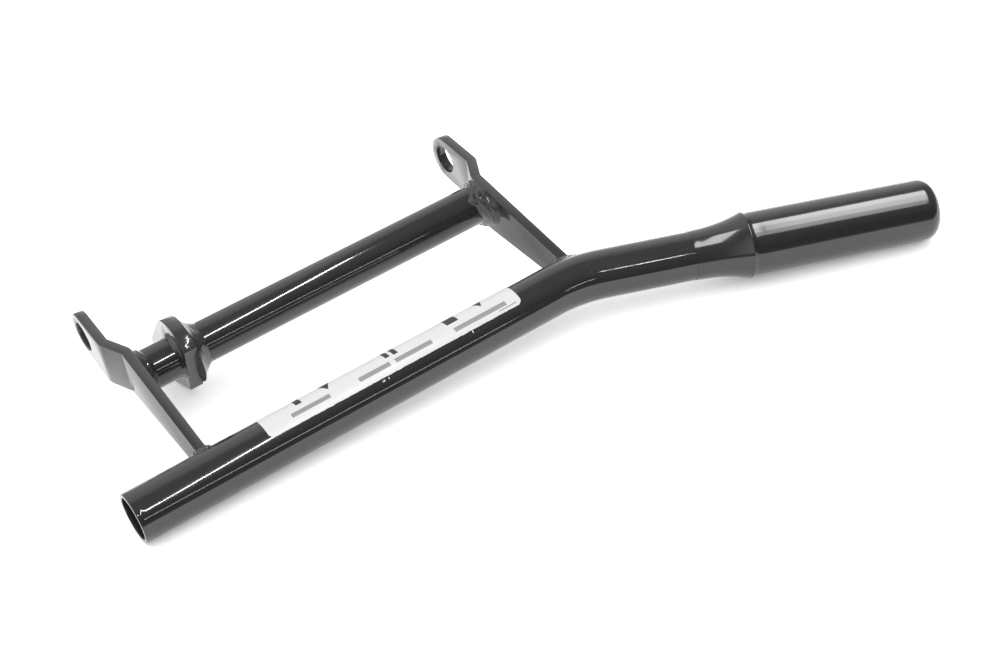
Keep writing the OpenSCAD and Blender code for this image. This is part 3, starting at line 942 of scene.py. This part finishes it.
# %% Which lamp lights what
sleeve = bpy.data.collections.new("sleeve")
sleeve.objects.link(grip)
painted = bpy.data.collections.new("painted steel")
for piece in list(bpy.context.scene.objects):
    if piece.type == "MESH" and not piece.hide_render and piece != grip:
        painted.objects.link(piece)
for lamp in (wide_far, wide_middle, wide_near, flare_strip):
    lamp.light_linking.receiver_collection = sleeve
for lamp in (long_strip, front_strip, low_strip):
    lamp.light_linking.receiver_collection = painted

# %% [markdown]
# ## World
# The camera sees plain white. Diffuse surfaces get even light at a plain level. Gloss sees a
# room instead: bright behind the handle, dark in front where the camera stands, and paler on
# the left. Gloss that saw white all round would turn the black paint grey.

# %% World
AMBIENT = 1.0
FRONT = (0.26, -0.966, 0)
ROOM_BANDS = [
    (-1.0, 0.4), (-0.86, 0.58), (-0.78, 0.74), (-0.4, 0.74), (-0.27, 0.6), (-0.13, 0.32), (0.0, 0.25),
    (0.5, 0.26), (0.7, 0.2), (0.82, 0.15), (0.91, 0.05), (1.0, 0.03),
]
LEFT_WALL = 0.5
LEFT_FROM = -0.40
LEFT_TO = -0.66
world = bpy.data.worlds.new("studio")
bpy.context.scene.world = world
world.use_nodes = True
tree = world.node_tree
path = wire(tree, "ShaderNodeLightPath").outputs
way = wire(tree, "ShaderNodeTexCoord").outputs["Generated"]
facing = wire(tree, "ShaderNodeVectorMath", {0: way, 1: FRONT}, operation="DOT_PRODUCT").outputs["Value"]
bands = wire(tree, "ShaderNodeValToRGB", {"Fac": spread(tree, facing, -1, 1)})
stops = bands.color_ramp.elements
while len(stops) < len(ROOM_BANDS):
    stops.new(0.5)
for stop, (band_facing, grey) in zip(stops, ROOM_BANDS):
    stop.position = (band_facing + 1) / 2
    stop.color = (grey, grey, grey, 1)
sideways = wire(tree, "ShaderNodeSeparateXYZ", {0: way}).outputs[0]
left = spread(tree, sideways, LEFT_FROM, LEFT_TO, 0, LEFT_WALL)
room = calculate(tree, "ADD", bands.outputs["Color"], left)


def choose(tree, flag, otherwise, chosen):
    """One value where the flag is 0, and another where it is 1."""
    return wire(tree, "ShaderNodeMix", {0: flag, 2: otherwise, 3: chosen}).outputs[0]


level = choose(tree, path["Is Glossy Ray"], AMBIENT, room)
level = choose(tree, path["Is Camera Ray"], level, 1.0)
background = tree.nodes["Background"]
background.inputs["Color"].default_value = (1, 1, 1, 1)
tree.links.new(level, background.inputs["Strength"])
print("bands of the room:", len(ROOM_BANDS))

# %% [markdown]
# ## Floor
# The table is plain and white. A diffuse floor alone renders grey here, and more light would
# fall on the handle too. Instead the floor answers rays from the camera twice over and rays
# from gloss a third more, which keeps the soft shadow, and a faint glow does the rest.

# %% Floor
FLOOR_HALF = 4.0
FLOOR_COLOUR = (0.9, 0.9, 0.9, 1)
FLOOR_GLOW = 0.08
GLOSS_GAIN = 0.35
ROOM_DARK = 0.06
mesh = bpy.data.meshes.new("floor")
corners = [(-FLOOR_HALF, -FLOOR_HALF, 0), (FLOOR_HALF, -FLOOR_HALF, 0)]
corners += [(FLOOR_HALF, FLOOR_HALF, 0), (-FLOOR_HALF, FLOOR_HALF, 0)]
mesh.from_pydata(corners, [], [(0, 1, 2, 3)])
floor = bpy.data.objects.new("floor", mesh)
bpy.context.scene.collection.objects.link(floor)
floor_paint, tree, shader = new_material("white table")
tree.nodes.remove(shader)
place = wire(tree, "ShaderNodeTexCoord").outputs["Object"]
path = wire(tree, "ShaderNodeLightPath").outputs


def mix_shaders(tree, factor, shader_a, shader_b):
    """Mix of two shaders by a factor."""
    inputs = {0: factor, 1: shader_a, 2: shader_b}
    return wire(tree, "ShaderNodeMixShader", inputs).outputs[0]


diffuse = wire(tree, "ShaderNodeBsdfDiffuse", {"Color": FLOOR_COLOUR}).outputs[0]
twice = wire(tree, "ShaderNodeAddShader", {0: diffuse, 1: diffuse}).outputs[0]
for_gloss = calculate(tree, "MULTIPLY", path["Is Glossy Ray"], GLOSS_GAIN)
lifted = mix_shaders(tree, calculate(tree, "MAXIMUM", path["Is Camera Ray"], for_gloss), diffuse, twice)
seen = calculate(tree, "MAXIMUM", path["Is Camera Ray"], path["Is Glossy Ray"])
glow = wire(tree, "ShaderNodeEmission", {"Strength": calculate(tree, "MULTIPLY", seen, FLOOR_GLOW)})
near = wire(tree, "ShaderNodeAddShader", {0: lifted, 1: glow.outputs[0]}).outputs[0]
print("floor half width in m:", FLOOR_HALF)

# %% [markdown]
# Far from the handle the floor is simply white to the camera, like the world. In front, where
# the table would end below the camera, gloss sees the dark room, and the tubes' undersides
# turn dark there. Both parts fade in by a distance, so that no edge shows.

# %% Far and front parts of the floor
FAR_FADE = (0.45, 1.2)
TABLE_END = (0.15, 0.19)
TABLE_FRONT = (-0.24, -0.97, 0)
distance = wire(tree, "ShaderNodeVectorMath", {0: place}, operation="LENGTH").outputs["Value"]
far = calculate(tree, "MULTIPLY", spread(tree, distance, *FAR_FADE), path["Is Camera Ray"])
white = wire(tree, "ShaderNodeEmission", {"Strength": 1}).outputs[0]
surface = mix_shaders(tree, far, near, white)
inputs = {0: place, 1: TABLE_FRONT}
ahead = wire(tree, "ShaderNodeVectorMath", inputs, operation="DOT_PRODUCT").outputs["Value"]
edge = calculate(tree, "MULTIPLY", spread(tree, ahead, *TABLE_END), path["Is Glossy Ray"])
dark = wire(tree, "ShaderNodeEmission", {"Strength": ROOM_DARK}).outputs[0]
surface = mix_shaders(tree, edge, surface, dark)
tree.links.new(surface, tree.nodes["Material Output"].inputs["Surface"])
floor_paint.cycles.emission_sampling = "NONE"
floor.data.materials.append(floor_paint)
print("nodes in the floor:", len(tree.nodes))

# %% [markdown]
# ## View transform
# The view transform is Standard, at which a colour shows as it is written.

# %% View transform
bpy.context.scene.view_settings.view_transform = "Standard"
bpy.context.view_layer.update()
